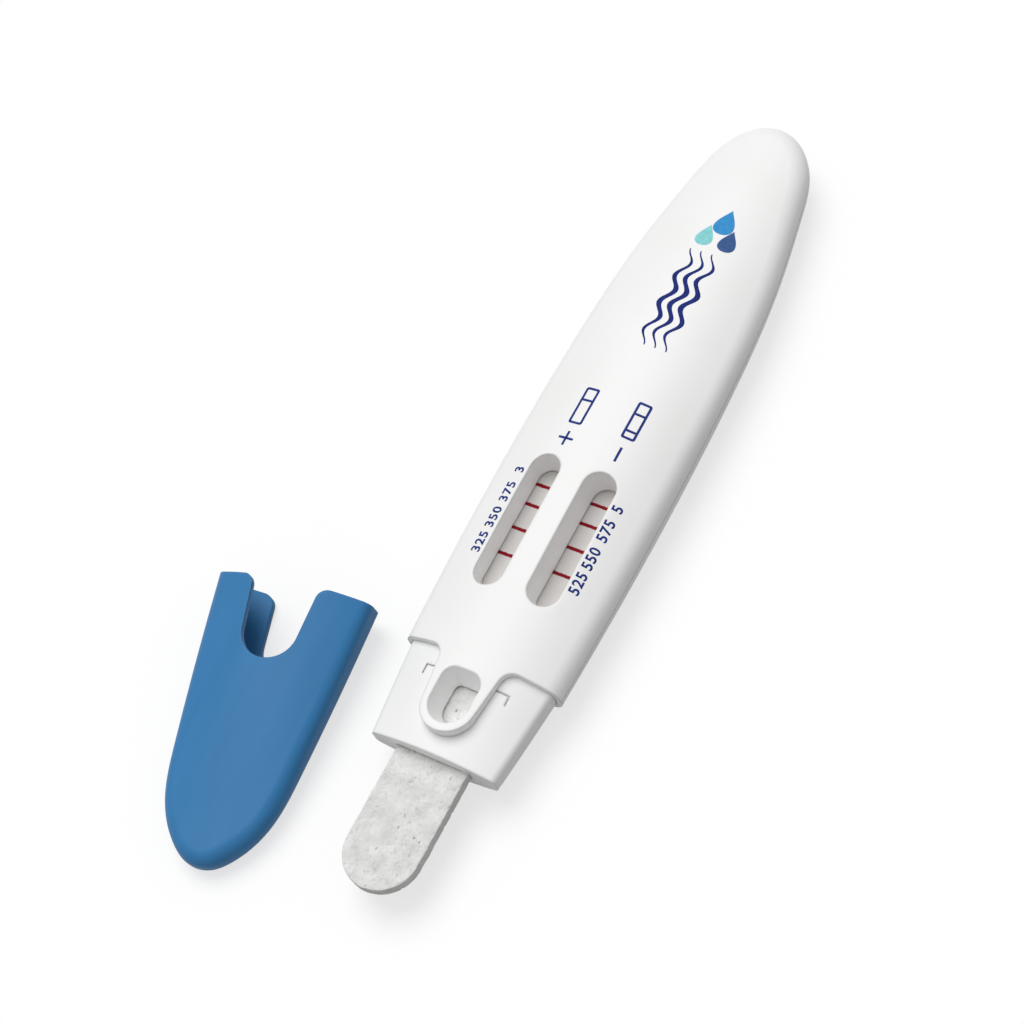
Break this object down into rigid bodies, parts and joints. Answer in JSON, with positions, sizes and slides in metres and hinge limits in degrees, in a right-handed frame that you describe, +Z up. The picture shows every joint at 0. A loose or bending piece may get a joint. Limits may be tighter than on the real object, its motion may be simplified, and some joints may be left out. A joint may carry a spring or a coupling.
{
  "type": "saliva drug test kit",
  "caption": "Flat handheld saliva test with an absorbent collection pad, reading windows over test strips, and a notched push-on cap lying beside it.",
  "frame": {"origin": "centre of the flat on the underside of the pod, on the surface that the kit lies on", "axes": "+X to the right across the pod as its face is read, +Y along the pod towards its round tip, +Z up out of the face with the reading windows"},
  "size_m": [0.0657, 0.1555, 0.0137],
  "materials": {
    "white_plastic": "satin moulded",
    "blue_plastic": "satin moulded",
    "pad_fibre": "pressed cellulose fibre",
    "card_plastic": "thin white sheet",
    "membrane_film": "fine porous film",
    "glass_fibre": "glass fibre mat tinted by the dried reagent",
    "cotton_fibre": "soft blotting paper"
  },
  "bodies": {
    "root": {"upper_housing": "white_plastic", "lower_housing": "white_plastic", "pad_holder": "white_plastic", "collection_pad": "pad_fibre", "cap": "blue_plastic", "left_backing_card": "card_plastic", "left_membrane": "membrane_film", "left_conjugate_pad": "glass_fibre", "left_sample_pad": "cotton_fibre", "left_wick_pad": "cotton_fibre", "right_backing_card": "card_plastic", "right_membrane": "membrane_film", "right_conjugate_pad": "glass_fibre", "right_sample_pad": "cotton_fibre", "right_wick_pad": "cotton_fibre"}
  },
  "joints": []
}
